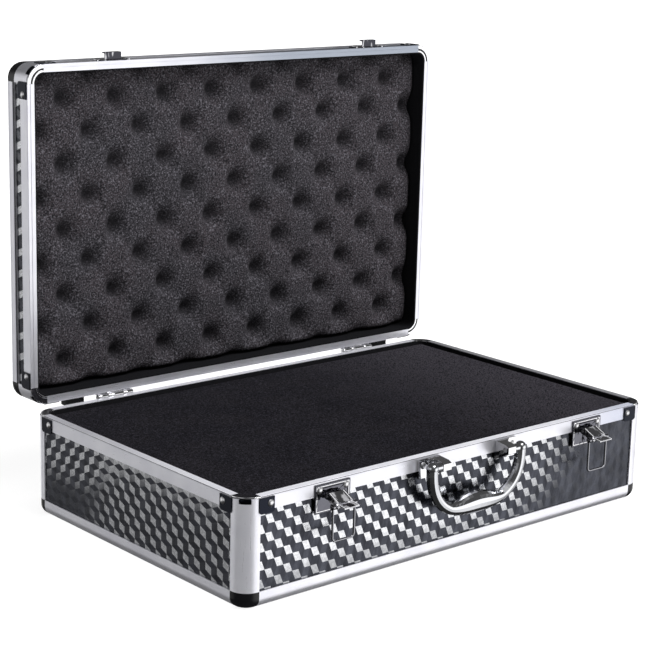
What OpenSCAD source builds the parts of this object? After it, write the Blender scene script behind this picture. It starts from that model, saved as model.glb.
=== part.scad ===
// Foam-lined carry case: a base and a lid of panels held in aluminium extrusions,
// with two draw latches, a drop handle and two butt hinges.
// Origin: centre of the base's footprint, on the floor. +X to the right along the long side,
// -Y towards the front (handle and latches), +Z up. The lid is drawn standing open.

/* [Case] */
// Outer width of the case, along X
case_w = 460; // [420:1:560]
// Outer depth of the case, along Y
case_d = 292.5; // [240:0.5:360]
// Height of the base, from the floor to the seam
base_h = 90.2; // [85:0.1:140]
// Height of the lid above the seam
lid_h = 37.2; // [36:0.1:60]
// Angle that the lid stands open
lid_open = 90; // [0:1:90]

/* [Frame] */
// Outer radius of the vertical corner posts
post_r = 14; // [13:0.5:15]
// Width of a corner post on each face
post_face = 16; // [16:0.5:18]
// Outer radius of the edge extrusions
edge_r = 8.5; // [7:0.5:12]
// Height of the base's edge extrusions on the side faces
edge_face = 14.1; // [13.5:0.1:20]
// Height of the lid's edge extrusions on the side faces
lid_edge_face = 16.2; // [15:0.1:20]
// Height of a rim extrusion
rim_h = 11.8; // [11:0.1:14]
// Depth of a rim extrusion, from its outer to its inner side
rim_t = 6.7; // [6:0.1:8]
// Wall thickness of the extrusions and corner caps
skin = 1.2; // [1:0.1:1.4]
// Thickness of the panels
panel_t = 3; // [2.5:0.1:3.2]

/* [Lining] */
// Thickness of the black lining
liner_t = 1.2; // [0.8:0.1:1.5]
// Depth of the base foam's top below the seam
base_foam_drop = 3; // [2:0.5:20]
// Depth of the lid foam's tips behind the seam
lid_foam_drop = 12; // [4.5:0.5:14]

/* [Fittings] */
// Sideways place of the handle's centre
fittings_x = 3.5; // [-5:0.5:5]
// Distance of each latch from the handle's centre
latch_x = 147; // [100:1:170]
// Distance of each hinge from the middle
hinge_x = 144; // [90:1:150]
// Distance of each back foot from the middle
foot_x = 181; // [175:1:190]
// Angle of the latch levers from shut to the rest position
lever_open = 64; // [0:1:104]
// Half the distance between the handle's arms
handle_arm_x = 51; // [50:1:62]
// Depth of the handle's bow below its pivot
handle_drop = 42.4; // [38:0.2:46]

/* [Hidden] */
$fn = 48;

half_w = case_w / 2;
half_d = case_d / 2;
slot = skin + panel_t;          // inner side of the slot that holds a panel
rim_web = 1.8;                  // thickness of a rim's web, on which the panel's edge bears
seam_gap = 0.2;                 // gap between the rims' faces when shut
hairline = 0.5;                 // width of the fine lines along a rim
hairline_drop = 0.4;            // distance of the line on a rim's outer side from the seam
groove_in = 2.6;                // place of the line in the lid rim's seam face
corner_groove_in = 4.4;         // place of the same line in the lid's corner rings
lid_stop = seam_gap + rim_web;  // distance of the lid panels' edges from the seam
edge_groove = 2.8;              // width of the shallow groove along a lid edge's flange
edge_groove_lip = 0.3;          // strip left beyond that groove
bottom_step = 1;                // drop of the bottom panel's middle below its edge
bottom_gap = 0.2;               // clearance around that middle
liner_drop = 0.6;               // top of the lining, below the seam

// Corner plates and rivets
plate_t = 1;
ear_in = 14.2;                  // start of an ear, from the case's corner
ear_w = 14.6;
ear_h = 12.6;
ear_drop = 1.6;                 // distance of an ear's top from the seam
ear_r = 2.5;
notch_half = 17;                // half angle of the tab in a corner
notch_h = 3.4;
rivet_r = 2.9;
rivet_h = 1.2;
rivet_hole = 1.5;
ear_rivet_in = 25;              // place of an ear's rivet, from the case's corner
ear_rivet_drop = 6.6;

// Hinges: the axis runs behind the back face, level with the seam
hinge_off = 3.25;
hinge_y = half_d + hinge_off;
hinge_z = base_h;
hinge_w = 37;
knuckle_w = 10.4;
barrel_r = 2.6;
hinge_pin_r = 1.2;
leaf_t = 1.4;
leaf_h = 9;
leaf_top = 2.2;                 // distance of a leaf's near edge from the seam
web_top = 1;                    // distance of a knuckle's web from the seam
hinge_rivet_x = 12;

// Latches: pivot of the lever, then of the bail, in front of the rim's face
latch_t = 1.4;
latch_w = 36;
latch_h = 23.4;
latch_top = 2.2;
latch_rivet_x = 13.4;
latch_rivet_z = base_h - 6.6;
strike_rivet_z = base_h + 7;
lever_off = 3.95;
lever_y = -half_d - lever_off;
lever_z = base_h - 11.8;
lever_len = 11.5;               // lever pivot to bail pivot
lever_w = 17.2;
lever_t = 1.2;
lever_front = 3.4;              // lever's front face, from its pivot
knuckle_r = 2.4;
ear_pin_r = 1.2;
bail_pin_r = 1;
run_gap = 0.05;                 // radial clearance of a running fit
bail_len = 28;
bail_half = 11;                 // middle of the handle to the middle of a bail's leg
bail_wire_r = 1;
bail_corner = 3;
bail_y = lever_y - lever_len * sin(lever_open);
bail_z = lever_z - lever_len * cos(lever_open);
tab_len = 7.6;
tab_w = 15;
strike_w = 36;
strike_h = 10.2;
strike_t = 1.2;
strike_z = 1;                   // distance of the strike's plate from the seam
hook_w = 17;
hook_out = 7.35;                // reach of the strike's hook from the rim's face
hook_z = 2.2;                   // underside of the hook above the seam
hook_lip = 3.4;

// Handle: pivot in front of the rim's face
pivot_off = 12.2;
pivot_y = -half_d - pivot_off;
pivot_z = base_h - 7.2;
arm_r = 4.9;
grip_r = 9.5;                   // half height of the grip's middle
grip_depth_r = 7;
grip_half = 30;                 // half length of the thick part
bow_power = 2.6;                // squareness of the bow
bow_steps = 40;
bow_sides = 16;
knuckle_reach_r = 3.6;          // radius of the knuckle between an arm and its bracket
pin_r = 2;
pin_seat = 3;                   // distance of a pin's outer end from the arm's middle
pin_in = 34;                    // inner end of a handle pin, from the handle's centre
boss_in = 33;
boss_w = 9;
boss_flare = 5.5;               // width over which a boss spreads into its plate
boss_flare_off = 5.8;           // start of that spread, from the pivot towards the case
bracket_w = 23;
bracket_h = 16.4;
bracket_t = 2;
bracket_rivet_x = 51.5;
boss_tip = 15.5;

foot_w = 19;
foot_h = 11;
foot_t = 8;
foot_corner = 2.5;
base_foot_z = 20;
lid_foot_z = 6;

alu = [0.80, 0.81, 0.83];
foil = [0.30, 0.31, 0.34];
black = [0.06, 0.06, 0.07];
dark_chrome = [0.22, 0.22, 0.25];
chrome = [0.86, 0.87, 0.89];
foam_grey = [0.13, 0.13, 0.14];

// ---- Placing ----

// The lid's parts are drawn as the base's are, seam uppermost, then turned over onto the seam
// and swung open about the hinge.
module lid_frame(h = base_h + lid_h) {
    translate([0, hinge_y, hinge_z]) rotate([-lid_open, 0, 0]) translate([0, -hinge_y, -hinge_z])
        translate([0, 0, h]) mirror([0, 0, 1]) children();
}

// The same swing for what is drawn in place above the seam
module lid_swing() {
    translate([0, hinge_y, hinge_z]) rotate([-lid_open, 0, 0]) translate([0, -hinge_y, -hinge_z]) children();
}

// A child drawn at the front, put on one of the two long or two short sides
module at_front() { translate([0, -half_d, 0]) children(); }
module at_back() { translate([0, half_d, 0]) mirror([0, 1, 0]) children(); }
module at_left() { translate([-half_w, 0, 0]) mirror([0, 1, 0]) rotate([0, 0, -90]) children(); }
module at_right() { translate([half_w, 0, 0]) rotate([0, 0, 90]) children(); }

// A child drawn in the corner of the first quadrant, put in all four corners
module at_corners() {
    for (sx = [0, 1], sy = [0, 1])
        mirror([sx, 0, 0]) mirror([0, sy, 0]) translate([-half_w, -half_d, 0]) children();
}

// ---- Profiles, measured inwards from the two outer faces ----

module corner_shape(inset, r, far) {
    intersection() {
        translate([inset + r, inset + r]) circle(r);
        square(far);
    }
    translate([inset + r, inset]) square([far - inset - r, far - inset]);
    translate([inset, inset + r]) square([far - inset, far - inset - r]);
}

module angle_profile(r, face) {
    difference() {
        corner_shape(0, r, face);
        corner_shape(skin, r - skin, face + 1);
    }
    difference() {
        translate([slot, slot]) square(face - slot);
        translate([slot + skin, slot + skin]) square(face);
    }
    for (turned = [0, 1]) mirror([turned, -turned]) translate([skin / 2, r - skin])
        square([panel_t + skin, skin]);
}

// Rim section: first number inwards from the outer face, second down from the seam
module rim_profile(top) {
    difference() {
        union() {
            translate([0, -rim_h]) square([skin, rim_h - top]);
            translate([0, -rim_web - top]) square([rim_t, rim_web]);
            translate([slot, -rim_h]) square([rim_t - slot, rim_h - top]);
        }
        translate([-1, -top - hairline_drop - hairline]) square([1 + skin / 3, hairline]);
    }
}

// The lid's rim stops short of the seam and has one fine groove in its seam face
module lid_rim_profile() {
    difference() {
        rim_profile(seam_gap);
        translate([groove_in, -seam_gap - skin / 3]) square([hairline, 1]);
    }
}

// A length of a profile along X, drawn at the front side
module run(length) {
    rotate([90, 0, 90]) translate([0, 0, -length / 2]) linear_extrude(length) children();
}

module rounded_rect(w, d, r) {
    square([w - 2 * r, d], center = true);
    square([w, d - 2 * r], center = true);
    for (sx = [-1, 1], sy = [-1, 1]) translate([sx * (w / 2 - r), sy * (d / 2 - r)]) circle(r);
}

// ---- Shell parts, shared by base and lid ----

module side_panel(length, h, stop) {
    color(foil) translate([-length / 2 + post_r, skin, edge_r])
        cube([length - 2 * post_r, panel_t, h - edge_r - stop]);
}

// The bottom or top panel; face is the width of the edge flanges around it
module flat_panel(face) {
    color(foil) {
        translate([0, 0, skin]) linear_extrude(panel_t)
            rounded_rect(case_w - 2 * edge_r, case_d - 2 * edge_r, post_r - edge_r);
        inner = max(face, post_face) + bottom_gap;
        translate([-half_w + inner, -half_d + inner, skin - bottom_step])
            cube([case_w - 2 * inner, case_d - 2 * inner, bottom_step]);
    }
}

// Plan of an edge profile: square ends at the posts, mitred where the flanges of two sides meet
module mitred_plan(length, face) {
    post_end = length / 2 - post_face;
    past = max(0.1, face - post_face + 1);
    polygon([[-post_end, -1], [post_end, -1], [post_end, post_face], [post_end - past, post_face + past],
             [past - post_end, post_face + past], [-post_end, post_face]]);
}

module edge_run(length, face, groove) {
    color(alu) intersection() {
        run(length) difference() {
            angle_profile(edge_r, face);
            translate([-1, face - edge_groove_lip - groove]) square([1 + skin / 3, groove]);
        }
        translate([0, 0, -1]) linear_extrude(face + 2) mitred_plan(length, face);
    }
}
module base_edge_run(length) { edge_run(length, edge_face, 0); }
module lid_edge_run(length) { edge_run(length, lid_edge_face, edge_groove); }

module base_rim_run(length) {
    color(alu) translate([0, 0, base_h]) run(length - 2 * post_face) rim_profile(0);
}
module lid_rim_run(length) {
    color(alu) translate([0, 0, lid_h]) run(length - 2 * post_face) lid_rim_profile();
}

// A wedge in the corner's own plan, wide enough for the tab between the two ears
module notch_wedge(grow) {
    translate([post_face, post_face]) rotate(180 + 45 - notch_half - grow)
        polygon([[0, 0], [2 * post_face, 0],
                 2 * post_face * [cos(2 * (notch_half + grow)), sin(2 * (notch_half + grow))]]);
}

module corner_posts(h, stop, face) {
    color(alu) at_corners() difference() {
        translate([0, 0, face]) linear_extrude(h - face - stop) angle_profile(post_r, post_face);
        translate([0, 0, h - stop - notch_h]) linear_extrude(notch_h + 1) intersection() {
            notch_wedge(0);
            difference() {
                translate([-1, -1]) square(post_face);
                translate([post_r, post_r]) circle(post_r - skin - 0.6);
            }
        }
    }
}

// The edge's section carried along both sides of a corner and round the post's axis
module cap_form(inset, face) {
    far = post_face + (inset > 0 ? 1 : 0);
    tall = face + (inset > 0 ? 1 : 0);
    reach = max(far, tall);
    for (turned = [0, 1]) mirror([turned, -turned, 0]) translate([post_r, 0, 0])
        rotate([90, 0, 90]) linear_extrude(far - post_r) intersection() {
            corner_shape(inset, edge_r - inset, reach);
            square([far, tall]);
        }
    translate([post_r, post_r, 0]) rotate([0, 0, 180]) rotate_extrude(angle = 90) intersection() {
        translate([post_r, 0]) mirror([1, 0]) corner_shape(inset, edge_r - inset, reach);
        square([post_r, tall]);
    }
}

module corner_caps(face) {
    color(black) at_corners() difference() {
        cap_form(0, face);
        cap_form(skin, face);
    }
}

// Quarter ring that joins two rims, swept from a section drawn as the rims are
module rim_corner(h) {
    translate([post_face, post_face, h]) rotate([0, 0, 180])
        rotate_extrude(angle = 90) translate([post_face, 0]) mirror([1, 0]) children();
}

module base_corner_section() {
    translate([0, -rim_web]) square([rim_t, rim_web]);
}

module lid_corner_section() {
    difference() {
        translate([0, -lid_stop]) square([rim_t, rim_web]);
        translate([corner_groove_in, -seam_gap - skin / 3]) square([hairline, 1]);
    }
}

module ear_outline() {
    translate([0, ear_r]) square([ear_w, ear_h - ear_r]);
    translate([ear_r, 0]) square([ear_w - 2 * ear_r, ear_r]);
    for (x = [ear_r, ear_w - ear_r]) translate([x, ear_r]) circle(ear_r);
}

// One ear on the front side of a corner, top at the seam
module corner_ear(h) {
    translate([ear_in, 0, h - ear_drop - ear_h]) rotate([90, 0, 0]) linear_extrude(plate_t) difference() {
        ear_outline();
        translate([ear_rivet_in - ear_in, ear_h + ear_drop - ear_rivet_drop]) circle(rivet_hole);
    }
}

// Two ears and the tab in the post's notch
module corner_plates(h, stop) {
    color(dark_chrome) at_corners() {
        corner_ear(h);
        mirror([1, -1, 0]) corner_ear(h);
        translate([0, 0, h - stop - notch_h]) linear_extrude(notch_h) intersection() {
            notch_wedge(-1);
            difference() {
                translate([post_r, post_r]) circle(post_r);
                translate([post_r, post_r]) circle(post_r - skin);
            }
        }
    }
}

// Dome-headed rivet on a face towards -Y, its shank going through a plate of thickness t
module rivet(t) {
    rotate([90, 0, 0]) rotate_extrude() {
        translate([0, -t]) square([rivet_hole, t]);
        intersection() {
            translate([0, rivet_h - rivet_r * 1.6]) circle(rivet_r * 1.6);
            square([rivet_r, rivet_h]);
        }
    }
}

module ear_rivets(h) {
    at_corners() for (turned = [0, 1]) mirror([turned, -turned, 0])
        translate([ear_rivet_in, -plate_t, h - ear_rivet_drop]) rivet(plate_t);
}

module liner(h) {
    inset = rim_t + 0.1;
    r = post_face - inset;
    low = slot + skin + 0.1;
    color(black) difference() {
        translate([0, 0, low]) linear_extrude(h - low - liner_drop)
            rounded_rect(case_w - 2 * inset, case_d - 2 * inset, r);
        translate([0, 0, low + liner_t]) linear_extrude(h)
            rounded_rect(case_w - 2 * (inset + liner_t), case_d - 2 * (inset + liner_t), r - liner_t);
    }
}

module foam_block(h, drop) {
    inset = rim_t + liner_t + 0.3;
    low = slot + skin + liner_t + 0.2;
    color(foam_grey) translate([0, 0, low]) linear_extrude(h - low - drop)
        rounded_rect(case_w - 2 * inset, case_d - 2 * inset, post_face - inset);
}

module back_feet(z) {
    color(black) for (x = [-foot_x, foot_x]) translate([x, half_d, z + foot_h / 2])
        rotate([-90, 0, 0]) linear_extrude(foot_t) rounded_rect(foot_w, foot_h, foot_corner);
}

// ---- Hinges ----

// Leaf with one or two knuckles; up is 1 for the lid's leaf and -1 for the base's
module hinge_leaf(up) {
    middle = hinge_w - 2 * knuckle_w;
    knuckles = up > 0 ? [[-middle / 2 + 0.1, middle - 0.2]]
                      : [[-hinge_w / 2, knuckle_w], [middle / 2, knuckle_w]];
    color(chrome) difference() {
        union() {
            translate([-hinge_w / 2, -hinge_off, up > 0 ? leaf_top : -leaf_top - leaf_h])
                cube([hinge_w, leaf_t, leaf_h]);
            for (k = knuckles) {
                translate([k[0], 0, 0]) rotate([0, 90, 0]) cylinder(r = barrel_r, h = k[1]);
                translate([k[0], -hinge_off, up > 0 ? web_top : -barrel_r])
                    cube([k[1], hinge_off, barrel_r - web_top]);
            }
        }
        translate([-hinge_w, 0, 0]) rotate([0, 90, 0]) cylinder(r = hinge_pin_r + run_gap, h = 2 * hinge_w);
        for (x = [-hinge_rivet_x, hinge_rivet_x])
            translate([x, 0, up * (leaf_top + leaf_h * 0.6)]) rotate([90, 0, 0])
                cylinder(r = rivet_hole, h = 3 * hinge_off, center = true);
    }
}

module at_hinges() { for (x = [-hinge_x, hinge_x]) translate([x, hinge_y, hinge_z]) children(); }

module hinge_rivets(up) {
    at_hinges() for (x = [-hinge_rivet_x, hinge_rivet_x])
        translate([x, leaf_t - hinge_off, up * (leaf_top + leaf_h * 0.6)]) mirror([0, 1, 0]) rivet(leaf_t);
}

module hinge_pins() {
    color(chrome) at_hinges() translate([-hinge_w / 2 - 0.6, 0, 0]) rotate([0, 90, 0])
        cylinder(r = hinge_pin_r, h = hinge_w + 1.2);
}

// ---- Latches: side is -1 for the left and 1 for the right ----

module at_latch(side) { translate([fittings_x + side * latch_x, 0, 0]) children(); }

module latch_plate(side) {
    ears_out = lever_w / 2 - lever_t - 0.4;
    color(chrome) at_latch(side) difference() {
        union() {
            translate([-latch_w / 2, -half_d - latch_t, base_h - latch_top - latch_h])
                cube([latch_w, latch_t, latch_h]);
            for (s = [-1, 1]) translate([s * (ears_out - lever_t / 2), lever_y, lever_z]) {
                rotate([0, 90, 0]) cylinder(r = 2, h = lever_t, center = true);
                translate([-lever_t / 2, 0, -2]) cube([lever_t, lever_off - latch_t / 2, 4]);
            }
        }
        translate([0, lever_y, lever_z]) rotate([0, 90, 0])
            cylinder(r = ear_pin_r, h = 2 * lever_w, center = true);
        for (x = [-latch_rivet_x, latch_rivet_x]) translate([x, -half_d, latch_rivet_z])
            rotate([90, 0, 0]) cylinder(r = rivet_hole, h = 9, center = true);
    }
}

module latch_lever_pins() {
    color(chrome) for (side = [-1, 1]) at_latch(side) translate([0, lever_y, lever_z])
        rotate([0, 90, 0]) cylinder(r = ear_pin_r, h = lever_w + 0.8, center = true);
}

// Drawn shut, its pivot at the origin, then swung out to the rest angle
module latch_lever(side) {
    half = lever_w / 2;
    gap_half = 3.2;
    color(chrome) at_latch(side) translate([0, lever_y, lever_z]) rotate([-lever_open, 0, 0])
        difference() {
            union() {
                translate([-half, -lever_front, -lever_len]) cube([lever_w, lever_t, lever_len]);
                for (x = [-half, half - lever_t]) {
                    translate([x, 0, 0]) rotate([0, 90, 0]) cylinder(r = knuckle_r, h = lever_t);
                    translate([x, -lever_front, -lever_len])
                        cube([lever_t, lever_front + knuckle_r * 0.6, lever_len]);
                }
                for (x = [-half, gap_half]) translate([x, 0, -lever_len]) rotate([0, 90, 0])
                    cylinder(r = knuckle_r, h = half - gap_half);
                translate([-tab_w / 2, -knuckle_r, -lever_len]) rotate([-18, 0, 0])
                    translate([0, 0, -tab_len - knuckle_r / 2]) cube([tab_w, lever_t, tab_len]);
            }
            translate([-half - 1, 0, 0]) rotate([0, 90, 0])
                cylinder(r = ear_pin_r + run_gap, h = lever_w + 2);
            translate([-half - 1, 0, -lever_len]) rotate([0, 90, 0])
                cylinder(r = bail_pin_r + run_gap, h = lever_w + 2);
        }
}

module bail_pin(side) {
    color(chrome) at_latch(side) translate([0, bail_y, bail_z]) rotate([0, 90, 0])
        cylinder(r = bail_pin_r, h = 2 * bail_half + 3.2, center = true);
}

// Wire loop hanging from its pin, with an eye at the top of each leg
module latch_bail(side) {
    leg = bail_len - bail_corner;
    eye_r = 2.2;
    color(chrome) at_latch(side) translate([0, bail_y, bail_z]) difference() {
        union() {
            for (s = [-1, 1]) {
                translate([s * bail_half, 0, -leg]) cylinder(r = bail_wire_r, h = leg - eye_r / 2);
                translate([s * bail_half, 0, 0]) rotate([0, 90, 0])
                    cylinder(r = eye_r, h = 2 * bail_wire_r, center = true);
                translate([s * (bail_half - bail_corner), 0, -leg]) mirror([s < 0 ? 1 : 0, 0, 0])
                    rotate([-90, 0, 0]) rotate_extrude(angle = 90)
                        translate([bail_corner, 0]) circle(bail_wire_r);
            }
            translate([0, 0, -bail_len]) rotate([0, 90, 0])
                cylinder(r = bail_wire_r, h = 2 * (bail_half - bail_corner), center = true);
        }
        rotate([0, 90, 0]) cylinder(r = bail_pin_r + run_gap, h = 4 * bail_half, center = true);
    }
}

module latch_strike(side) {
    color(chrome) lid_swing() at_latch(side) difference() {
        union() {
            translate([-strike_w / 2, -half_d - strike_t, base_h + strike_z])
                cube([strike_w, strike_t, strike_h]);
            translate([-hook_w / 2, -half_d - hook_out, base_h + hook_z])
                cube([hook_w, hook_out - strike_t / 2, strike_t]);
            translate([-hook_w / 2, -half_d - hook_out, base_h + hook_z])
                cube([hook_w, strike_t, strike_t + hook_lip]);
        }
        for (x = [-latch_rivet_x, latch_rivet_x]) translate([x, -half_d, strike_rivet_z])
            rotate([90, 0, 0]) cylinder(r = rivet_hole, h = 9, center = true);
    }
}

// ---- Handle ----

module at_handle() { translate([fittings_x, pivot_y, pivot_z]) children(); }

// Side view of a bracket's boss: first number towards the case, second up from the pivot
module boss_profile(low) {
    polygon([[pivot_off, low], [pivot_off, low + bracket_h],
             [pivot_off - boss_tip + 3, 4.4], [pivot_off - boss_tip - 0.5, 2.6],
             [pivot_off - boss_tip - 0.5, -3], [pivot_off - boss_tip + 2.5, -4.6]]);
}

// Plan of the same boss, spreading outwards where it meets the back plate
module boss_plan() {
    plate_off = pivot_off - bracket_t;
    polygon([[boss_in, -pivot_off], [boss_in + boss_w, -pivot_off], [boss_in + boss_w, boss_flare_off],
             [boss_in + boss_w + boss_flare, plate_off], [boss_in + boss_w + boss_flare, pivot_off],
             [boss_in, pivot_off]]);
}

// Back plate with a sloping boss that carries one end of the handle
module handle_bracket(side) {
    low = -bracket_h + 5.6;
    color(chrome) at_handle() mirror([side < 0 ? 1 : 0, 0, 0]) difference() {
        union() {
            translate([boss_in, pivot_off - bracket_t, low]) cube([bracket_w, bracket_t, bracket_h]);
            intersection() {
                translate([boss_in, 0, 0]) rotate([90, 0, 90]) linear_extrude(bracket_w) boss_profile(low);
                translate([0, 0, low]) linear_extrude(bracket_h) boss_plan();
            }
        }
        translate([boss_in - 1, 0, 0]) rotate([0, 90, 0]) cylinder(r = pin_r + run_gap, h = boss_w + 2);
        translate([bracket_rivet_x, pivot_off, 0]) rotate([90, 0, 0])
            cylinder(r = rivet_hole, h = 9, center = true);
    }
}

function signed_power(v, p) = sign(v) * pow(abs(v), p);
function bow_point(t) = [handle_arm_x * signed_power(cos(t), 2 / bow_power),
                         -handle_drop * signed_power(sin(t), 2 / bow_power)];
function bow_way(t) =
    let (before = bow_point(max(0, t - 1)), after = bow_point(min(180, t + 1)))
    (after - before) / norm(after - before);
function swell(x) = abs(x) < grip_half ? cos(90 * x / grip_half) : 0;
// Even steps of the angle that draws the bow
function bow_angle(i) = 180 * i / bow_steps;

// The arms are round; the grip thickens on its inner side only
module handle_grip() {
    rings = [for (i = [0 : bow_steps]) let (
        t = bow_angle(i), c = bow_point(t), w = bow_way(t), s = swell(c[0]),
        up = arm_r + (grip_r - arm_r) * s, deep = arm_r + (grip_depth_r - arm_r) * s)
        for (k = [0 : bow_sides - 1]) let (q = 360 * k / bow_sides, out = up * cos(q) - up + arm_r)
            [c[0] - w[1] * out, deep * sin(q), c[1] + w[0] * out]];
    sides = [for (i = [0 : bow_steps - 1], k = [0 : bow_sides - 1]) let (
        a = i * bow_sides + k, b = i * bow_sides + (k + 1) % bow_sides)
        [a, b, b + bow_sides, a + bow_sides]];
    ends = [[for (k = [bow_sides - 1 : -1 : 0]) k],
            [for (k = [0 : bow_sides - 1]) bow_steps * bow_sides + k]];
    color(chrome) at_handle() difference() {
        union() {
            polyhedron(rings, concat(sides, ends), convexity = 6);
            for (s = [-1, 1]) translate([s * handle_arm_x, 0, 0]) {
                sphere(r = arm_r + 0.15);
                rotate([0, -90 * s, 0])
                    cylinder(r = knuckle_reach_r, h = handle_arm_x - boss_in - boss_w - 0.3);
            }
        }
        for (s = [-1, 1]) translate([s * (handle_arm_x - pin_seat), 0, 0]) rotate([0, -90 * s, 0])
            cylinder(r = pin_r, h = handle_arm_x);
    }
}

module handle_pins() {
    color(chrome) at_handle() for (s = [-1, 1]) translate([s * pin_in, 0, 0]) rotate([0, 90 * s, 0])
        cylinder(r = pin_r, h = handle_arm_x - pin_seat - pin_in);
}

// ---- Rivets in groups ----

module base_rivets() {
    color(chrome) {
        ear_rivets(base_h);
        hinge_rivets(-1);
        for (side = [-1, 1]) {
            at_latch(side) for (x = [-latch_rivet_x, latch_rivet_x])
                translate([x, -half_d - latch_t, latch_rivet_z]) rivet(latch_t);
            at_handle() translate([side * bracket_rivet_x, pivot_off - bracket_t, 0]) rivet(bracket_t);
        }
    }
}

module lid_rivets() {
    color(chrome) {
        lid_frame() ear_rivets(lid_h);
        lid_swing() {
            hinge_rivets(1);
            for (side = [-1, 1]) at_latch(side) for (x = [-latch_rivet_x, latch_rivet_x])
                translate([x, -half_d - strike_t, strike_rivet_z]) rivet(strike_t);
        }
    }
}

flat_panel(edge_face);  // base_bottom_panel
at_front() side_panel(case_w, base_h, rim_web);  // base_front_panel
at_back() side_panel(case_w, base_h, rim_web);  // base_back_panel
at_left() side_panel(case_d, base_h, rim_web);  // base_left_panel
at_right() side_panel(case_d, base_h, rim_web);  // base_right_panel
at_front() base_edge_run(case_w);  // base_edge_front
at_back() base_edge_run(case_w);  // base_edge_back
at_left() base_edge_run(case_d);  // base_edge_left
at_right() base_edge_run(case_d);  // base_edge_right
at_front() base_rim_run(case_w);  // base_rim_front
at_back() base_rim_run(case_w);  // base_rim_back
at_left() base_rim_run(case_d);  // base_rim_left
at_right() base_rim_run(case_d);  // base_rim_right
corner_posts(base_h, rim_web, edge_face);  // base_corner_posts
corner_caps(edge_face);  // base_corner_caps
color(alu) at_corners() rim_corner(base_h) base_corner_section();  // base_rim_corners
corner_plates(base_h, rim_web);  // base_corner_plates
liner(base_h);  // base_liner
foam_block(base_h, base_foam_drop);  // base_foam
base_rivets();
back_feet(base_foot_z);  // base_back_feet
handle_bracket(-1);  // handle_bracket_left
handle_bracket(1);  // handle_bracket_right
latch_plate(-1);  // latch_plate_left
latch_plate(1);  // latch_plate_right
latch_lever_pins();
at_hinges() hinge_leaf(-1);  // hinge_base_leaves
hinge_pins();
lid_frame() flat_panel(lid_edge_face);  // lid_top_panel
lid_frame() at_front() side_panel(case_w, lid_h, lid_stop);  // lid_front_panel
lid_frame() at_back() side_panel(case_w, lid_h, lid_stop);  // lid_back_panel
lid_frame() at_left() side_panel(case_d, lid_h, lid_stop);  // lid_left_panel
lid_frame() at_right() side_panel(case_d, lid_h, lid_stop);  // lid_right_panel
lid_frame() at_front() lid_edge_run(case_w);  // lid_edge_front
lid_frame() at_back() lid_edge_run(case_w);  // lid_edge_back
lid_frame() at_left() lid_edge_run(case_d);  // lid_edge_left
lid_frame() at_right() lid_edge_run(case_d);  // lid_edge_right
lid_frame() at_front() lid_rim_run(case_w);  // lid_rim_front
lid_frame() at_back() lid_rim_run(case_w);  // lid_rim_back
lid_frame() at_left() lid_rim_run(case_d);  // lid_rim_left
lid_frame() at_right() lid_rim_run(case_d);  // lid_rim_right
lid_frame() corner_posts(lid_h, lid_stop, lid_edge_face);  // lid_corner_posts
lid_frame() corner_caps(lid_edge_face);  // lid_corner_caps
lid_frame() color(alu) at_corners() rim_corner(lid_h) lid_corner_section();  // lid_rim_corners
lid_frame() corner_plates(lid_h, lid_stop);  // lid_corner_plates
lid_frame() liner(lid_h);  // lid_liner
lid_frame() foam_block(lid_h, lid_foam_drop);  // lid_foam
lid_rivets();
lid_swing() translate([0, 0, base_h]) back_feet(lid_foot_z);  // lid_back_feet
latch_strike(-1);  // latch_strike_left
latch_strike(1);  // latch_strike_right
lid_swing() at_hinges() hinge_leaf(1);  // hinge_lid_leaves
handle_grip();
handle_pins();
latch_lever(-1);  // latch_lever_left
latch_lever(1);  // latch_lever_right
bail_pin(-1);  // bail_pin_left
bail_pin(1);  // bail_pin_right
latch_bail(-1);  // latch_bail_left
latch_bail(1);  // latch_bail_right
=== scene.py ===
"""Foam-lined, aluminium-framed carry case, standing open with its lid at 90 degrees.

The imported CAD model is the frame. This script gives every CAD node its material, models the two foam pieces,
and sets up the floor, the lights and the camera. Lengths are in metres unless a name ends in _mm.
"""

import math

import bmesh
import bpy
from mathutils import Matrix, Vector, noise


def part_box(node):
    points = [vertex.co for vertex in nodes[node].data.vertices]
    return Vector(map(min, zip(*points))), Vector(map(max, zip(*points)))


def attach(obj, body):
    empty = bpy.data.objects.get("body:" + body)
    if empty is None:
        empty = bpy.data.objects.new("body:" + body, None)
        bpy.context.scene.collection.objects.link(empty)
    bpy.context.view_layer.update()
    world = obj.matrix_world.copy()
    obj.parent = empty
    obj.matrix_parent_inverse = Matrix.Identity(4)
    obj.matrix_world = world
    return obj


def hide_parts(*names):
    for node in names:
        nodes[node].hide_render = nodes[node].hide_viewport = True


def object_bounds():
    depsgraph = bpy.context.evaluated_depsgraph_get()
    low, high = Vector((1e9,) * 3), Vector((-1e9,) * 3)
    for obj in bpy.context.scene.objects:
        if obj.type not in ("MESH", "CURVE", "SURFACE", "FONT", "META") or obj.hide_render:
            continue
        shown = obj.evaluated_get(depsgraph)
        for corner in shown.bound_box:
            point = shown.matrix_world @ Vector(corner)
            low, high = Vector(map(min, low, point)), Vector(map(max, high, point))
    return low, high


MM = 0.001

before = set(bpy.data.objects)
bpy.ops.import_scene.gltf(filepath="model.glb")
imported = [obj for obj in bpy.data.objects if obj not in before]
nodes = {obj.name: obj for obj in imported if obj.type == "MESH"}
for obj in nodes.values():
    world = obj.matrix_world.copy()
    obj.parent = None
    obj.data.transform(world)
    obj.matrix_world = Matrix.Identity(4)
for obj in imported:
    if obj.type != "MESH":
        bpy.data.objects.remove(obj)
cad_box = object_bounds()


# ---- Camera ----

CAMERA_PLACE = (-1.03187, -1.15615, 0.53516)
CAMERA_YAW, CAMERA_PITCH, CAMERA_ROLL = -40.97, -13.5, -1.45
CAMERA_LENS_MM = 101.2


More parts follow.
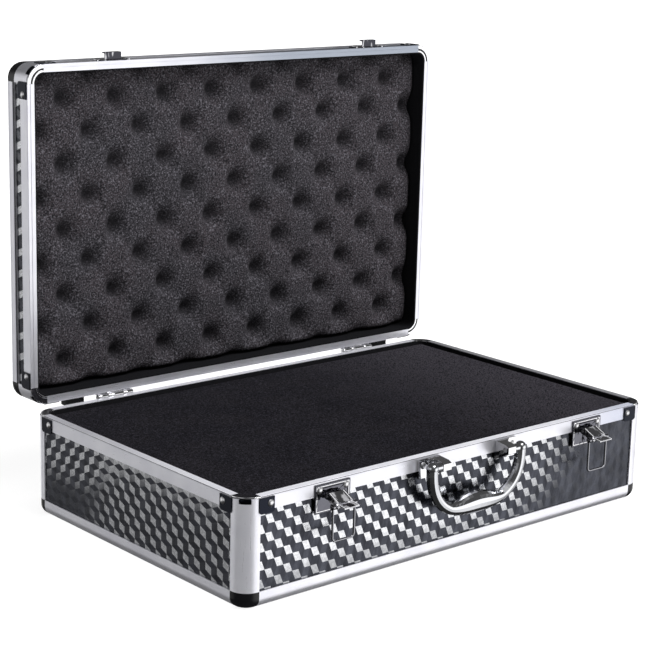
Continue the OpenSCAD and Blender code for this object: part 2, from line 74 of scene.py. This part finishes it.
def make_camera():
    turn = (
        Matrix.Rotation(math.radians(CAMERA_YAW), 4, "Z")
        @ Matrix.Rotation(math.radians(CAMERA_PITCH), 4, "X")
        @ Matrix.Rotation(math.radians(CAMERA_ROLL), 4, "Y")
        @ Matrix.Rotation(math.radians(90), 4, "X")
    )
    data = bpy.data.cameras.new("camera")
    data.lens = CAMERA_LENS_MM
    data.sensor_width = 36
    camera = bpy.data.objects.new("camera", data)
    camera.matrix_world = Matrix.Translation(CAMERA_PLACE) @ turn
    bpy.context.scene.collection.objects.link(camera)
    bpy.context.scene.camera = camera


# ---- Materials ----


class Tree:
    """Makes the nodes of one node tree. Each method returns its node's output socket."""

    def __init__(self, tree):
        self.tree = tree

    def plug(self, socket, value):
        if isinstance(value, bpy.types.NodeSocket):
            self.tree.links.new(value, socket)
        elif isinstance(value, tuple) and len(value) == 3 and socket.type == "RGBA":
            socket.default_value = (*value, 1)
        else:
            socket.default_value = value

    def node(self, kind, inputs, output=0, **properties):
        made = self.tree.nodes.new("ShaderNode" + kind)
        for name, value in properties.items():
            setattr(made, name, value)
        for key, value in inputs.items():
            self.plug(made.inputs[key], value)
        return made.outputs[output]

    def calc(self, operation, first, second=0.0, third=0.0):
        return self.node("Math", {0: first, 1: second, 2: third}, operation=operation)

    def fit(self, value, low, high, to_low=0.0, to_high=1.0):
        """value, eased from low..high to to_low..to_high and held at the ends."""
        inputs = {"Value": value, "From Min": low, "From Max": high, "To Min": to_low, "To Max": to_high}
        return self.node("MapRange", inputs, interpolation_type="SMOOTHSTEP")

    def mix(self, share, first, second):
        return self.node("Mix", {0: share, 6: first, 7: second}, 2, data_type="RGBA")


def scaled(colour, factor):
    return tuple(factor * part for part in colour)


def middle_of(box, axis):
    return (getattr(box[0], axis) + getattr(box[1], axis)) / 2


def half_of(box, axis):
    return (getattr(box[1], axis) - getattr(box[0], axis)) / 2


class Shader(Tree):
    """One material on a Principled BSDF."""

    def __init__(self, name, **settings):
        self.material = bpy.data.materials.new(name)
        self.material.use_nodes = True
        super().__init__(self.material.node_tree)
        self.surface = self.tree.nodes["Principled BSDF"]
        self.set(**settings)

    def set(self, **settings):
        for name, value in settings.items():
            self.plug(self.surface.inputs[name.replace("_", " ").title().replace("Ior", "IOR")], value)

    def place(self):
        """Position in the row frame, in metres, which a body carries with it."""
        return self.node("TexCoord", {}, "Object")

    def axes(self):
        split = self.tree.nodes.new("ShaderNodeSeparateXYZ")
        self.plug(split.inputs[0], self.place())
        return dict(zip("xyz", split.outputs))

    def off_middle(self, box, axis):
        """Distance from a box's middle along one axis."""
        return self.calc("ABSOLUTE", self.calc("SUBTRACT", self.axes()[axis], middle_of(box, axis)))

    def between(self, value, low, high):
        above = self.calc("GREATER_THAN", value, low)
        return self.calc("MULTIPLY", above, self.calc("LESS_THAN", value, high))

    def noise(self, scale, detail=2.0, stretch=(1, 1, 1)):
        where = self.node("Mapping", {"Vector": self.place(), "Scale": stretch})
        return self.node("TexNoise", {"Vector": where, "Scale": scale, "Detail": detail})

    def cells(self, scale):
        return self.node("TexVoronoi", {"Vector": self.place(), "Scale": scale}, "Distance")

    def bump(self, height, depth, strength=1.0):
        inputs = {"Height": height, "Distance": depth, "Strength": strength}
        self.set(normal=self.node("Bump", inputs))


# Foil sheet printed with tumbling blocks. Three edge directions of a block's face: across, right and down,
# left and down. Each face is one of three rhombi, and each rhombus has its own tone.
BLOCK_EDGE_MM = 6.1
BLOCK_DROP_MM = 7.3
FOIL_DARK = (0.042, 0.044, 0.054)
FOIL_GREY = (0.056, 0.059, 0.072)
FOIL_WHITE = (0.86, 0.87, 0.90)
# How much the dark and the grey vary along streaks, and the white's share where it is dull
DARK_RANGE = (0.72, 1.40)
GREY_STREAK = 1.35
DULL_WHITE = 0.72


def even_sheen(s, x, y, z):
    """The bright and the grey rhombi's share of white where nothing bright or dark stands close by."""
    cloud = s.noise(9, 1)
    return s.fit(cloud, 0.3, 0.7, 0.75, 1.0), s.fit(cloud, 0.35, 0.75, 0.0, 0.12)


def front_painted_sheen(s, x, y, z):
    """Painted reflection: the front's whites die away to the right, sooner low down, and towards the bottom
    edge.
    """
    reach = s.calc("MULTIPLY_ADD", z, -0.83, s.calc("ADD", x, 63.5))
    right = s.fit(reach, 75.0, 165.0, 1.0, 0.02)
    low = s.fit(z, 17.0, 35.0, 0.5, 1.0)
    return s.calc("MULTIPLY", right, low), 0.0


def left_painted_sheen(s, x, y, z):
    """Painted reflection: far off, only the bright rhombus shines, and only near the top; close by, only the
    grey one does.
    """
    floor_z = s.fit(y, 0.0, 75.0, 79.0, 49.0)
    bright = s.fit(s.calc("SUBTRACT", z, floor_z), -20.0, 10.0, 0.03, 0.85)
    grey = s.fit(s.calc("MULTIPLY_ADD", z, 0.3, s.calc("SUBTRACT", y, 12.0)), 22.0, 72.0, 0.74, 0.02)
    return bright, grey


def foil(name, across, up, turned=False, origin_mm=(0.0, 0.0), sheen=even_sheen):
    """across and up are the sheet's axes, such as "x" or "-y", seen from outside; turned lays the print on
    its side; origin_mm is a corner where three rhombi meet, along the print's own axes."""
    s = Shader(name, metallic=1.0)
    axes = s.axes()
    mm = {axis: s.calc("MULTIPLY", axes[axis], 1 / MM) for axis in "xyz"}

    def along(axis):
        return s.calc("MULTIPLY", mm[axis[-1]], -1.0) if axis.startswith("-") else mm[axis]

    u, v = along(across), along(up)
    if turned:
        u, v = v, s.calc("MULTIPLY", u, -1.0)
    u = s.calc("SUBTRACT", u, origin_mm[0])
    v = s.calc("SUBTRACT", v, origin_mm[1])
    t = s.calc("MULTIPLY", v, -1 / BLOCK_DROP_MM)
    w = s.calc("MULTIPLY_ADD", t, 0.5, s.calc("MULTIPLY", u, 1 / BLOCK_EDGE_MM))
    cell = s.calc("ADD", s.calc("FLOOR", w), s.calc("FLOOR", t))
    kind = s.calc("FLOORED_MODULO", s.calc("ADD", cell, 0.5), 3.0)
    upper = s.calc("GREATER_THAN", s.calc("FRACT", w), s.calc("FRACT", t))
    first = s.calc("LESS_THAN", kind, 1.0)
    last = s.calc("GREATER_THAN", kind, 2.0)
    middle = s.calc("SUBTRACT", s.calc("SUBTRACT", 1.0, first), last)
    # a rhombus is two triangles of neighbouring cells
    bright = s.calc("ADD", s.calc("MULTIPLY", middle, upper),
                    s.calc("MULTIPLY", last, s.calc("SUBTRACT", 1.0, upper)))
    # share of white on the bright and the grey rhombi; on the base's front and left it is painted reflection,
    # fading by place
    bright_share, grey_share = sheen(s, mm["x"], mm["y"], mm["z"])
    mottle = s.noise(420, 3)
    white = s.mix(s.fit(mottle, 0.42, 0.62), scaled(FOIL_WHITE, DULL_WHITE), FOIL_WHITE)
    streak = s.fit(s.noise(110, 4, (1.0, 1.0, 0.4)), 0.32, 0.68)
    dark = s.mix(streak, scaled(FOIL_DARK, DARK_RANGE[0]), scaled(FOIL_DARK, DARK_RANGE[1]))
    colour = s.mix(first, dark, s.mix(streak, FOIL_DARK, scaled(FOIL_GREY, GREY_STREAK)))
    colour = s.mix(s.calc("MULTIPLY", first, grey_share), colour, white)
    colour = s.mix(s.calc("MULTIPLY", bright, bright_share), colour, white)
    s.set(base_color=colour, roughness=s.fit(mottle, 0.3, 0.7, 0.2, 0.3))
    return s.material


# Share of light that satin aluminium scatters evenly, on profiles and on the base's corner posts; on the posts
# it is raised as a painted highlight
SATIN_HAZE = 0.18
POST_PAINTED_HAZE = 0.36
SATIN_COLOURS = ((0.76, 0.76, 0.82), (0.83, 0.83, 0.88))
# Painted shade in the aluminium's grooves, with the panel's dark edge in the lid's groove
GROOVE_SHADE_AND_EDGE = (0.035, 0.035, 0.042)
# How near a point must be to a flat face to count as on it
FACE_SLACK = 0.4 * MM
# The y of the base's front and back ends, between which an upper face's haze, a painted highlight, changes
HAZE_RUN = (-0.14, 0.14)


def aluminium(name, run, line=None, top=None, painted_shade=None, haze=SATIN_HAZE):
    """Satin aluminium with a fine grain along its run, x, y or z. line is an axis and the two places on it
    between which a groove is dark: painted shade, and along the lid's edges the panel's dark edge too; top is
    the height of an upper face, and its extra haze at the front and at the back, a painted highlight; shaded
    is the pair of x between which the metal is painted darker, painted shade, and the colour it darkens to."""
    s = Shader(name)
    axes = s.axes()
    stretch = tuple(0.02 if axis == run else 1.0 for axis in "xyz")
    grain = s.noise(2600, 3, stretch)
    cloud = s.noise(35, 2)
    colour = s.mix(s.fit(cloud, 0.3, 0.7), *SATIN_COLOURS)
    # painted shade: darker towards the right along x
    if painted_shade:
        colour = s.mix(s.fit(axes["x"], *painted_shade[:2]), colour, painted_shade[2])
    # painted shade in a groove, and along the lid's edges the panel's dark edge
    if line:
        axis, low, high = line
        colour = s.mix(s.between(axes[axis], low, high), colour, GROOVE_SHADE_AND_EDGE)
    # painted highlight: more haze on an upper face makes it lighter
    if top:
        height, near, far = top
        above = s.calc("GREATER_THAN", axes["z"], height - FACE_SLACK / 2)
        haze = s.calc("MULTIPLY_ADD", above, s.fit(axes["y"], *HAZE_RUN, near, far), haze)
    s.set(base_color=colour, metallic=s.calc("SUBTRACT", 1.0, haze))
    s.set(roughness=s.fit(grain, 0.25, 0.75, 0.27, 0.38))
    s.bump(grain, 0.00001, 0.35)
    return s.material


BRIGHT = (0.84, 0.84, 0.86)
SMEAR_ROUGHNESS = 0.04


def metal(name, colour, roughness):
    """Plated or polished metal, with faint smears and hairlines."""
    s = Shader(name, metallic=1.0, base_color=colour)
    smear = s.noise(60, 4)
    s.set(roughness=s.fit(smear, 0.35, 0.7, roughness, roughness + SMEAR_ROUGHNESS))
    s.bump(s.noise(900, 2), 0.000004, 0.3)
    return s.material


# Raised lines of pressed pieces, where highlights are painted: distance from the edge, and width
PLATE_LINE = (1.3 * MM, 0.8 * MM)
RIB_LINE = (1.6 * MM, 1.0 * MM)


def embossed(name, colour, line, box):
    """Polished metal with a painted highlight along the raised line round a plate's front; box is the plate's
    own.
    """
    s = Shader(name, metallic=1.0, roughness=0.07)
    inset, width = PLATE_LINE
    from_edges = [s.calc("SUBTRACT", half_of(box, axis), s.off_middle(box, axis)) for axis in "xz"]
    inward = s.calc("MINIMUM", *from_edges)
    off_line = s.calc("ABSOLUTE", s.calc("SUBTRACT", inward, inset + width / 2))
    painted_highlight_line = s.fit(off_line, width * 0.35, width * 0.65, 1.0, 0.0)
    s.set(base_color=s.mix(painted_highlight_line, colour, line))
    s.bump(s.calc("MULTIPLY_ADD", s.noise(170, 1), 2.0, painted_highlight_line), 0.3 * MM, 0.9)
    return s.material


def ribbed(name, colour, pale, box):
    """Polished metal with painted highlights: two pale lines along a pressed piece's ribs and faint pale
    streaks between them; box is the piece's own."""
    s = Shader(name, roughness=0.08)
    inset, width = RIB_LINE
    off_rib = s.calc("ABSOLUTE", s.calc("SUBTRACT", s.off_middle(box, "x"), half_of(box, "x") - inset))
    # painted highlights: a pale line on each rib and faint pale streaks between them
    rib = s.fit(off_rib, width * 0.3, width * 0.6, 1.0, 0.0)
    painted_glints = s.fit(s.noise(190, 2, (1.0, 0.35, 0.35)), 0.54, 0.64, 0.0, 0.6)
    share = s.calc("MAXIMUM", rib, painted_glints)
    s.set(base_color=s.mix(share, colour, pale), metallic=s.calc("MULTIPLY_ADD", share, -0.7, 1.0))
    s.bump(share, 0.1 * MM, 0.6)
    return s.material


# Corner rings: outer radius, and the dark band's two distances from the rounded corner's axis
RING_RADIUS = 16.0 * MM
BASE_RING_DARK = (0.0, 14.8 * MM)
LID_RING_DARK = (11.2 * MM, 12.8 * MM)


def ring_corner(name, box, plane, dark):
    """Corner rings, bright but for a dark band on the face towards the seam. box is that of all four rings,
    and plane the axes of that face."""
    s = Shader(name)
    axes = s.axes()

    def past(axis):
        over = s.calc("SUBTRACT", s.off_middle(box, axis), half_of(box, axis) - RING_RADIUS)
        return s.calc("POWER", s.calc("MAXIMUM", over, 0.0), 2.0)

    out = s.calc("SQRT", s.calc("ADD", past(plane[0]), past(plane[1])))
    if plane == "xy":
        on_face = s.calc("GREATER_THAN", axes["z"], box[1].z - FACE_SLACK)
    else:
        on_face = s.calc("LESS_THAN", axes["y"], box[0].y + FACE_SLACK)
    black = s.calc("MULTIPLY", on_face, s.between(out, *dark))
    s.set(base_color=s.mix(black, BRIGHT, (0.012, 0.012, 0.014)),
          metallic=s.calc("SUBTRACT", 1.0, black), roughness=s.fit(black, 0.0, 1.0, 0.06, 0.22))
    return s.material


def black_plastic(name, roughness):
    s = Shader(name, base_color=(0.004, 0.004, 0.005), specular_ior_level=0.35)
    skin = s.noise(1800, 3)
    s.set(roughness=s.fit(s.noise(40, 3), 0.3, 0.7, roughness, roughness + 0.1))
    s.bump(skin, 0.00002, 0.25)
    return s.material


def lining(name):
    """Thin black flocked lining."""
    s = Shader(name, roughness=0.95, specular_ior_level=0.15)
    fibre = s.noise(2200, 4)
    s.set(base_color=s.mix(s.fit(fibre, 0.3, 0.75), (0.005, 0.005, 0.006), (0.013, 0.013, 0.015)))
    s.bump(fibre, 0.0002, 0.5)
    return s.material


# A pore's and a bright fleck's shade as shares of the foam's
PORE_SHADE = 0.35
FLECK_SHADE = 2.7


def foam(name, shade, tint, cell, sheen=1.0, pits=None):
    """Open-cell foam: dark pores between fine struts, a few of which catch the light. sheen is how much
    lighter it is painted at the right end, a painted sheen; pits is the pair of y between which it darkens
    into the pits, painted shade."""
    s = Shader(name, roughness=1.0, specular_ior_level=0.1)
    pores = s.cells(cell)
    flecks = s.noise(cell * 0.9, 3)
    cloud = s.noise(22, 2)
    base = s.mix(s.fit(cloud, 0.35, 0.65), shade, tint)
    # painted sheen: lighter towards the right end
    base = s.mix(s.fit(s.axes()["x"], 0.0, 0.22), base, scaled(tint, sheen))
    dark = scaled(shade, PORE_SHADE)
    colour = s.mix(s.fit(pores, 0.25, 0.75), base, dark)
    colour = s.mix(s.fit(flecks, 0.50, 0.70), colour, scaled(shade, FLECK_SHADE))
    # painted shade: darker down in the pits
    if pits:
        colour = s.mix(s.fit(s.axes()["y"], *pits), colour, dark)
    s.set(base_color=colour)
    s.bump(pores, 0.0006, 0.6)
    return s.material


def rubber(name):
    s = Shader(name, base_color=(0.014, 0.014, 0.015), roughness=0.75)
    s.bump(s.noise(1500, 3), 0.00005, 0.5)
    return s.material


def give(material, *names):
    for name in names:
        piece = nodes[name]
        piece.data.materials.clear()
        piece.data.materials.append(material)


# Extra haze of the base rims' upper faces, at the front and at the back: a painted highlight that makes them
# lighter
TOP_PAINTED_HAZE = {"front": (0.80, 0.80), "back": (0.35, 0.35), "left": (0.70, 0.22), "right": (0.05, 0.02)}
# Painted shade: where the two rims at the front darken towards the right, and the colour they darken to
RIM_PAINTED_SHADE = {"base_front": (0.10, 0.22, (0.56, 0.58, 0.68)), "lid_front": (-0.13, 0.06, (0.33, 0.36, 0.42))}
# Painted shade in the groove along the lid's edges, from the lid's top face, where the panel's edge is dark
# too, and a painted shade line below the base rims' seam
EDGE_GROOVE = (13.1 * MM, 15.9 * MM)
SEAM_LINE = (0.4 * MM, 0.9 * MM)
SIDES = ("front", "back", "left", "right")


def dress_frame():
    # the base stands as it is drawn; the lid has swung back, so its height runs towards +Y
    special = {
        "base_front_panel": {"origin_mm": (-205.3, 66.87), "sheen": front_painted_sheen},
        "base_left_panel": {"origin_mm": (66.6, 84.5), "sheen": left_painted_sheen},
        "lid_left_panel": {"origin_mm": (315.6, 163.2)},
    }
    foils = {
        "base_front_panel": ("x", "z"), "base_back_panel": ("-x", "z"), "base_bottom_panel": ("x", "y"),
        "base_left_panel": ("-y", "z"), "base_right_panel": ("y", "z"),
        "lid_front_panel": ("x", "y"), "lid_back_panel": ("-x", "y"), "lid_top_panel": ("x", "-z"),
        "lid_left_panel": ("z", "y"), "lid_right_panel": ("-z", "y"),
    }
    for name, (across, up) in foils.items():
        turned = name in ("base_left_panel", "base_right_panel")
        give(foil("foil_" + name, across, up, turned, **special.get(name, {})), name)
    along = {axis: aluminium("aluminium_" + axis, axis) for axis in "xyz"}
    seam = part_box("base_rim_front")[1].z
    lid_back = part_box("lid_top_panel")[1].y
    groove = ("y", lid_back - EDGE_GROOVE[1], lid_back - EDGE_GROOVE[0])
    lined = {axis: aluminium("lid_edge_" + axis, axis, groove) for axis in "xz"}
    for side in SIDES:
        base_run, lid_run = ("x", "x") if side in ("front", "back") else ("y", "z")
        give(along[base_run], f"base_edge_{side}")
        give(aluminium("base_rim_" + side, base_run, ("z", seam - SEAM_LINE[1], seam - SEAM_LINE[0]),
                       (seam, *TOP_PAINTED_HAZE[side]), RIM_PAINTED_SHADE.get("base_" + side)), f"base_rim_{side}")
        give(aluminium("lid_rim_" + side, lid_run, painted_shade=RIM_PAINTED_SHADE.get("lid_" + side)), f"lid_rim_{side}")
        give(lined[lid_run], f"lid_edge_{side}")
    # the base posts' extra haze is a painted highlight
    give(aluminium("base_post", "z", haze=POST_PAINTED_HAZE), "base_corner_posts")
    give(along["y"], "lid_corner_posts")
    give(black_plastic("cap_plastic", 0.16), "base_corner_caps", "lid_corner_caps")
    give(lining("black_lining"), "base_liner", "lid_liner")
    give(rubber("foot_rubber"), "base_back_feet", "lid_back_feet")
    give(metal("dark_chrome", (0.016, 0.018, 0.026), 0.10), "base_corner_plates", "lid_corner_plates")
    # the pale colour is a painted highlight along each plate's raised line
    for name in ("latch_plate_left", "latch_plate_right"):
        give(embossed("plate_" + name, (0.13, 0.13, 0.15), (0.85, 0.85, 0.87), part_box(name)), name)
    give(ring_corner("base_ring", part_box("base_rim_corners"), "xy", BASE_RING_DARK), "base_rim_corners")
    give(ring_corner("lid_ring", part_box("lid_rim_corners"), "xz", LID_RING_DARK), "lid_rim_corners")
    bright = metal("bright_chrome", BRIGHT, 0.05)
    give(bright, "hinge_base_leaves", "hinge_lid_leaves", "handle_bracket_left", "handle_bracket_right")
    # Painted shade: the strikes' chrome is coloured nearly black; the pale colour is painted highlights on the
    # ribs
    pressed = {"latch_lever": (0.60, 0.60, 0.63), "latch_strike": (0.05, 0.05, 0.06)}
    for kind, colour in pressed.items():
        for name in (kind + "_left", kind + "_right"):
            give(ribbed("chrome_" + name, colour, (0.85, 0.85, 0.88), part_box(name)), name)
    # Painted shade: the bails' chrome is coloured darker than the bright chrome
    give(metal("wire_chrome", (0.42, 0.42, 0.45), 0.07), "latch_bail_left", "latch_bail_right")
    give(metal("bright_steel", (0.90, 0.90, 0.92), 0.30), "base_rivets", "lid_rivets", "latch_lever_pins",
         "hinge_pins", "handle_pins", "bail_pin_left", "bail_pin_right")
    # Painted shade: the grip's chrome is coloured darker than the bright chrome
    give(metal("grip_chrome", (0.70, 0.71, 0.74), 0.07), "handle_grip")


# Edges that a press or a mould leaves slightly round: width of the rounding
ROUNDED_MM = {
    "latch_plate_left": 0.5, "latch_plate_right": 0.5, "latch_lever_left": 0.3, "latch_lever_right": 0.3,
    "latch_strike_left": 0.4, "latch_strike_right": 0.4, "handle_bracket_left": 0.6,
    "handle_bracket_right": 0.6, "base_corner_plates": 0.3, "lid_corner_plates": 0.3,
    "base_back_feet": 0.8, "lid_back_feet": 0.8, "base_rim_corners": 0.3, "lid_rim_corners": 0.3,
    "hinge_base_leaves": 0.3, "hinge_lid_leaves": 0.3,
}
SHARPEST_DEGREES = 35
WELD_GAP = 0.005 * MM


def round_edges():
    for name, width in ROUNDED_MM.items():
        piece = nodes[name]
        weld = piece.modifiers.new("weld", "WELD")
        weld.merge_threshold = WELD_GAP
        bevel = piece.modifiers.new("bevel", "BEVEL")
        bevel.width = width * MM
        bevel.segments = 2
        bevel.limit_method = "ANGLE"
        bevel.angle_limit = math.radians(SHARPEST_DEGREES)
        bevel.harden_normals = True


# ---- Foam ----


def add_piece(name, mesh, material, body):
    piece = bpy.data.objects.new(name, mesh)
    bpy.context.scene.collection.objects.link(piece)
    mesh.materials.append(material)
    for face in mesh.polygons:
        face.use_smooth = True
    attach(piece, body)
    return piece


def slab(name, across, deep, point):
    """Closed slab. point(a, b, c) gives a place for a and b in 0..1 over the face and c 0 at the back, 1 at
    the face; across and deep are the numbers of squares."""
    mesh = bpy.data.meshes.new(name)
    work = bmesh.new()
    face = [[work.verts.new(point(a / across, b / deep, 1.0)) for b in range(deep + 1)]
            for a in range(across + 1)]
    for a in range(across):
        for b in range(deep):
            work.faces.new((face[a][b], face[a + 1][b], face[a + 1][b + 1], face[a][b + 1]))
    ring = ([(a, 0) for a in range(across)] + [(across, b) for b in range(deep)]
            + [(a, deep) for a in range(across, 0, -1)] + [(0, b) for b in range(deep, 0, -1)])
    above = [face[a][b] for a, b in ring]
    for level in (0.75, 0.5, 0.25, 0.0):
        below = [work.verts.new(point(a / across, b / deep, level)) for a, b in ring]
        for i in range(len(ring)):
            j = (i + 1) % len(ring)
            work.faces.new((above[j], above[i], below[i], below[j]))
        above = below
    work.faces.new(above)
    bmesh.ops.recalc_face_normals(work, faces=work.faces)
    work.to_mesh(mesh)
    work.free()
    return mesh


# Egg-crate foam: pits in rows along X, each row set off by half a pitch
PIT_PITCH_X = 53.2 * MM
PIT_PITCH_Z = 57.5 * MM
PIT_AT = (-26.2 * MM, 354.5 * MM)
PIT_DEPTH = 12.5 * MM
PIT_SHARPNESS = 3.6
# How far the pits stray from their rows, and per metre how often the cut foam waves
PIT_WOBBLE = 2.0 * MM
WOBBLE_RATE = 28
LID_FOAM_WAVE = (0.4 * MM, 60)
BASE_FOAM_WAVE = (0.35 * MM, 14)
# Rounding of the foam's edges, and its drop at the very edge as a share of it
EDGE_ROUND = 3.0 * MM
LID_FOAM_DROP = 0.35
BASE_FOAM_DROP = 0.6
# Gaps between the lid's foam and its lining
GAP_RIGHT = 2.0 * MM
GAP_BOTTOM = 3.0 * MM
# Squares of the foam's faces, along X and across it
LID_FOAM_SQUARES = (176, 110)
BASE_FOAM_SQUARES = (180, 112)


def egg_crate(x, z):
    """Depth of the surface below the bumps' tops, as a share of a pit's depth."""
    x += PIT_WOBBLE * noise.noise(Vector((x, z, 0.3)) * WOBBLE_RATE)
    z += PIT_WOBBLE * noise.noise(Vector((x, z, 7.9)) * WOBBLE_RATE)
    wave = (math.cos(2 * math.pi * (x - PIT_AT[0]) / PIT_PITCH_X)
            * math.cos(2 * math.pi * (z - PIT_AT[1]) / PIT_PITCH_Z))
    return ((1 + wave) / 2) ** PIT_SHARPNESS


def sunk(place, wave, near_edge, drop):
    """How far the foam lies below its highest at a place: its slow wave and its rounded edge."""
    depth, rate = wave
    sink = depth * (1 + noise.noise(place * rate))
    if near_edge < EDGE_ROUND:
        sink += drop * EDGE_ROUND * (1 - near_edge / EDGE_ROUND) ** 2
    return sink


def make_lid_foam(material):
    low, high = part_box("lid_foam")
    right = high.x - GAP_RIGHT
    bottom = low.z + GAP_BOTTOM

    def point(a, b, c):
        x = low.x + (right - low.x) * a
        z = bottom + (high.z - bottom) * b
        near_edge = min(x - low.x, right - x, z - bottom, high.z - z)
        sink = sunk(Vector((x, z, 0)), LID_FOAM_WAVE, near_edge, LID_FOAM_DROP)
        face_y = low.y + PIT_DEPTH * egg_crate(x, z) + sink
        return (x, high.y + (face_y - high.y) * c, z)

    mesh = slab("lid_foam_sheet", *LID_FOAM_SQUARES, point)
    piece = add_piece("lid_foam_sheet", mesh, material, "lid")
    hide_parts("lid_foam")


def make_base_foam(material):
    low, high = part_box("base_foam")

    def point(a, b, c):
        x = low.x + (high.x - low.x) * a
        y = low.y + (high.y - low.y) * b
        near_edge = min(x - low.x, high.x - x, y - low.y, high.y - y)
        top = high.z - sunk(Vector((x, y, 1.7)), BASE_FOAM_WAVE, near_edge, BASE_FOAM_DROP)
        return (x, y, low.z + (top - low.z) * c)

    mesh = slab("base_foam_block", *BASE_FOAM_SQUARES, point)
    piece = add_piece("base_foam_block", mesh, material, "base")
    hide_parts("base_foam")


# ---- Stage and light ----


# The floor glows faintly, so that it stays pale under the object
FLOOR_GREY = (0.5, 0.5, 0.5)
FLOOR_GLOW = 0.90
FLOOR_REACH = 12.0
FLOOR_GAP = 0.2 * MM


def make_stage():
    s = Shader("floor", base_color=FLOOR_GREY, roughness=0.6, specular_ior_level=0.0)
    s.set(emission_color=(1.0, 1.0, 1.0), emission_strength=FLOOR_GLOW)
    mesh = bpy.data.meshes.new("floor")
    corners = [(FLOOR_REACH * x, FLOOR_REACH * y, 0) for x, y in ((-1, -1), (1, -1), (1, 1), (-1, 1))]
    mesh.from_pydata(corners, [], [(0, 1, 2, 3)])
    mesh.materials.append(s.material)
    floor = bpy.data.objects.new("floor", mesh)
    floor.location.z = cad_box[0].z - FLOOR_GAP
    bpy.context.scene.collection.objects.link(floor)
    floor.visible_glossy = False


def area_light(name, place, aim, size, power):
    data = bpy.data.lights.new(name, "AREA")
    data.shape = "RECTANGLE"
    data.size, data.size_y = size
    data.energy = power
    lamp = bpy.data.objects.new(name, data)
    lamp.location = place
    lamp.rotation_euler = (Vector(aim) - Vector(place)).to_track_quat("-Z", "Y").to_euler()
    bpy.context.scene.collection.objects.link(lamp)


# Soft glows of the studio round the object: direction, the cosine at which it starts, strength, and the
# heights, as sines of the elevation, where it starts and is full, and where it is still full and ends
ALL_BELOW = (-2.0, -1.0)
GLOWS = [
    ((0.64, -0.75, -0.10), 0.72, 1.40, (*ALL_BELOW, 0.02, 0.34)),
    ((0.05, -0.62, 0.78), 0.86, 0.95, (*ALL_BELOW, 0.95, 1.10)),
    ((-0.68, 0.70, 0.08), 0.80, 0.78, (*ALL_BELOW, 0.15, 0.50)),
    ((-0.97, -0.10, 0.25), 0.88, 0.60, (*ALL_BELOW, 0.30, 0.60)),
    ((0.30, 0.90, -0.30), 0.80, 1.00, (-0.52, -0.40, -0.14, -0.02)),
    ((0.97, 0.15, -0.25), 0.84, 0.70, (-0.52, -0.40, -0.14, -0.02)),
]
# The studio's even light above and below, and the heights between which the one turns into the other
STUDIO_DIM = 0.08
STUDIO_LOW = 0.03
STUDIO_TURN = (-0.55, -0.15)


def make_world():
    world = bpy.data.worlds.new("studio")
    bpy.context.scene.world = world
    world.use_nodes = True
    w = Tree(world.node_tree)
    toward = w.node("TexCoord", {}, "Generated")
    rise = w.node("SeparateXYZ", {0: toward}, "Z")
    total = w.fit(rise, *STUDIO_TURN, STUDIO_LOW, STUDIO_DIM)
    for direction, start, strength, (low, low_full, high_full, high) in GLOWS:
        aim = tuple(Vector(direction).normalized())
        facing = w.node("VectorMath", {0: toward, 1: aim}, "Value", operation="DOT_PRODUCT")
        window = w.calc("MULTIPLY", w.fit(rise, low, low_full), w.fit(rise, high_full, high, 1.0, 0.0))
        total = w.calc("MULTIPLY_ADD", w.fit(facing, start, 1.0, 0.0, strength), window, total)
    background = world.node_tree.nodes["Background"]
    w.plug(background.inputs["Strength"], total)
    background.inputs["Color"].default_value = (1, 1, 1, 1)


SUN_TOWARDS = (-0.35, 0.55, -0.9)
SUN_STRENGTH = 3.0
SUN_WIDTH_DEGREES = 35
KEY_PLACE = (0.5, -1.5, 2.0)
KEY_AIM = (0, 0, 0.15)
KEY_SIZE = (1.0, 0.5)
KEY_WATTS = 12


def make_light():
    make_world()
    sun = bpy.data.lights.new("sun", "SUN")
    sun.energy = SUN_STRENGTH
    sun.angle = math.radians(SUN_WIDTH_DEGREES)
    lamp = bpy.data.objects.new("sun", sun)
    lamp.rotation_euler = Vector(SUN_TOWARDS).to_track_quat("-Z", "Y").to_euler()
    lamp.visible_glossy = False
    bpy.context.scene.collection.objects.link(lamp)
    area_light("key", KEY_PLACE, KEY_AIM, KEY_SIZE, KEY_WATTS)


bpy.context.scene.view_settings.view_transform = "Standard"
make_camera()
dress_frame()
round_edges()
# the y over which painted shade darkens the lid foam's pits; the base foam gets a painted sheen
pit_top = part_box("lid_foam")[0].y
pits = (pit_top + 0.1 * PIT_DEPTH, pit_top + 1.3 * PIT_DEPTH)
make_lid_foam(foam("lid_foam", (0.044, 0.042, 0.048), (0.053, 0.046, 0.052), 700, pits=pits))
make_base_foam(foam("base_foam", (0.0135, 0.0130, 0.0165), (0.0200, 0.0185, 0.0220), 850, sheen=3.5))
make_stage()
make_light()

bpy.context.view_layer.update()
